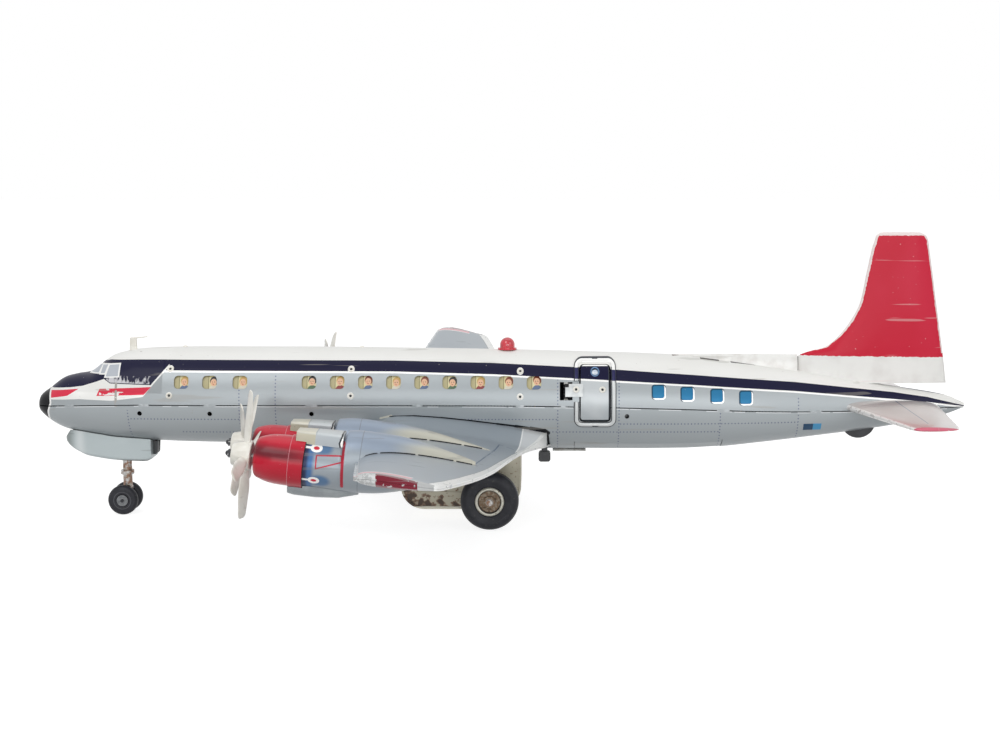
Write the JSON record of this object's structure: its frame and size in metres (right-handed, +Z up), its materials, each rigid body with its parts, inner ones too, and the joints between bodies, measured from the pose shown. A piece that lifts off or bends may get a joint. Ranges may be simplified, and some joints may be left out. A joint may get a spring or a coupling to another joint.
{
  "type": "tin toy airliner",
  "caption": "Battery-driven tin toy airliner with spinning propellers, driven main wheels, steerable nose wheels, a hinged cabin door and a hinged battery hatch.",
  "frame": {"origin": "middle of the object in plan, on the ground plane under its wheels", "axes": "+X towards the tail, nose towards -X, port side towards -Y, +Z up"},
  "size_m": [0.56, 0.588, 0.1708],
  "materials": {
    "fuselage_upper_print": "gloss litho print, white roof, navy band, silver side",
    "fuselage_lower_print": "gloss silver-grey litho print with dotted rivet lines",
    "passenger_print": "gloss litho print, cream with simple heads",
    "door_print": "gloss litho print",
    "door_frame_print": "gloss white and silver",
    "dull_steel": "dull bare steel",
    "white_plastic": "aged white moulding",
    "red_lens": "clear red moulding",
    "lamp_brass": "bare brass",
    "fin_print": "gloss red with a white foot",
    "dorsal_print": "gloss white with a red edge",
    "tailplane_print": "gloss pinkish grey",
    "wing_upper_print": "gloss bluish silver-grey, red tips",
    "wing_lower_print": "gloss silver-grey, red tips",
    "nacelle_print": "gloss silver-grey with a red stripe",
    "cowling_print": "gloss red",
    "scoop_print": "gloss silver with a cream mouth",
    "cooler_print": "satin grey",
    "motor_can": null,
    "pod_tin": "worn tan-grey tin with rust at its edges",
    "gear_brass": "bare brass",
    "gear_nylon": "natural nylon",
    "bright_steel": "bare steel",
    "hub_steel": "bare steel, browned with rust",
    "tyre_rubber": "matt bluish black",
    "nose_fairing_print": "gloss pale grey",
    "cell_sleeve": null,
    "lever_plastic": "dark grey moulding",
    "roller_plastic": "aged cream moulding"
  },
  "bodies": {
    "airframe": {"fuselage_top": "fuselage_upper_print", "fuselage_bottom": "fuselage_lower_print", "window_strip_left": "passenger_print", "window_strip_right": "passenger_print", "door_frame": "door_frame_print", "door_hinge": "dull_steel", "aerial_mast": "white_plastic", "beacon_lens": "red_lens", "beacon_lamp": "lamp_brass", "tail_fin": "fin_print", "dorsal_fillet": "dorsal_print", "tailplane_left": "tailplane_print", "tailplane_right": "tailplane_print", "wing_top_left": "wing_upper_print", "wing_top_right": "wing_upper_print", "wing_bottom_left": "wing_lower_print", "wing_bottom_right": "wing_lower_print", "nacelle_1": "nacelle_print", "nacelle_2": "nacelle_print", "nacelle_3": "nacelle_print", "nacelle_4": "nacelle_print", "cowling_1": "cowling_print", "cowling_2": "cowling_print", "cowling_3": "cowling_print", "cowling_4": "cowling_print", "intake_scoops": "scoop_print", "oil_coolers": "cooler_print", "engine_motors": "motor_can", "gear_frame": "pod_tin", "drive_motor": "motor_can", "nose_fairing": "nose_fairing_print", "hatch_hinge": "dull_steel", "battery_cells": "cell_sleeve", "battery_contacts": "lamp_brass", "roller_pin": "dull_steel", "rivets": "bright_steel"},
    "propeller_body_1": {"propeller_1": "white_plastic", "prop_shaft_1": "bright_steel"},
    "propeller_body_2": {"propeller_2": "white_plastic", "prop_shaft_2": "bright_steel"},
    "propeller_body_3": {"propeller_3": "white_plastic", "prop_shaft_3": "bright_steel"},
    "propeller_body_4": {"propeller_4": "white_plastic", "prop_shaft_4": "bright_steel"},
    "wheelset": {"main_axle": "bright_steel", "main_hubs": "hub_steel", "main_tyres": "tyre_rubber", "axle_gear": "gear_brass"},
    "idler": {"idler_gear": "gear_nylon"},
    "rotor": {"motor_pinion": "gear_brass"},
    "nose_leg": {"nose_strut": "bright_steel"},
    "nose_wheels": {"nose_hubs": "hub_steel", "nose_tyres": "tyre_rubber"},
    "door": {"cabin_door": "door_print", "door_arm": "dull_steel"},
    "hatch": {"battery_hatch": "fuselage_lower_print", "hatch_latch": "dull_steel"},
    "lever": {"switch_lever": "lever_plastic"},
    "roller": {"tail_roller": "roller_plastic"}
  },
  "joints": [
    {"name": "propeller_spin_1", "type": "hinge", "parent": "airframe", "child": "propeller_body_1", "pos_m": [-0.1218, -0.16, 0.0648], "axis": [0.9925, 0, -0.1219], "continuous": true},
    {"name": "propeller_spin_2", "type": "hinge", "parent": "airframe", "child": "propeller_body_2", "pos_m": [-0.1373, -0.078, 0.0558], "axis": [0.9925, 0, -0.1219], "continuous": true},
    {"name": "propeller_spin_3", "type": "hinge", "parent": "airframe", "child": "propeller_body_3", "pos_m": [-0.1373, 0.078, 0.0558], "axis": [0.9925, 0, -0.1219], "continuous": true},
    {"name": "propeller_spin_4", "type": "hinge", "parent": "airframe", "child": "propeller_body_4", "pos_m": [-0.1218, 0.16, 0.0648], "axis": [0.9925, 0, -0.1219], "continuous": true},
    {"name": "wheel_spin", "type": "hinge", "parent": "airframe", "child": "wheelset", "pos_m": [-0.006, 0, 0.017], "axis": [0, 1, 0], "continuous": true},
    {"name": "idler_spin", "type": "hinge", "parent": "airframe", "child": "idler", "pos_m": [-0.01635, 0, 0.02297], "axis": [0, 1, 0], "continuous": true},
    {"name": "rotor_spin", "type": "hinge", "parent": "airframe", "child": "rotor", "pos_m": [-0.02862, 0, 0.02604], "axis": [0, 1, 0], "continuous": true},
    {"name": "nose_steer", "type": "hinge", "parent": "airframe", "child": "nose_leg", "pos_m": [-0.228, 0, 0.034], "axis": [0, 0, 1], "range_deg": [-30, 30]},
    {"name": "nose_wheel_spin", "type": "hinge", "parent": "nose_leg", "child": "nose_wheels", "pos_m": [-0.2297, 0, 0.009], "axis": [0, 1, 0], "continuous": true},
    {"name": "door_swing", "type": "hinge", "parent": "airframe", "child": "door", "pos_m": [0.0386, -0.0243, 0.078], "axis": [0, 0, -1], "range_deg": [0, 85]},
    {"name": "hatch_swing", "type": "hinge", "parent": "airframe", "child": "hatch", "pos_m": [0.088, 0.0192, 0.04501], "axis": [1, 0, 0], "range_deg": [0, 100]},
    {"name": "switch_slide", "type": "slide", "parent": "airframe", "child": "lever", "axis": [1, 0, 0], "range_m": [0, 0.004]},
    {"name": "roller_spin", "type": "hinge", "parent": "airframe", "child": "roller", "pos_m": [0.216, 0, 0.057], "axis": [0, 1, 0], "continuous": true}
  ],
  "couplings": [
    {"joint": "idler_spin", "follows": "wheel_spin", "ratio": -2.4},
    {"joint": "rotor_spin", "follows": "wheel_spin", "ratio": 6.24}
  ]
}
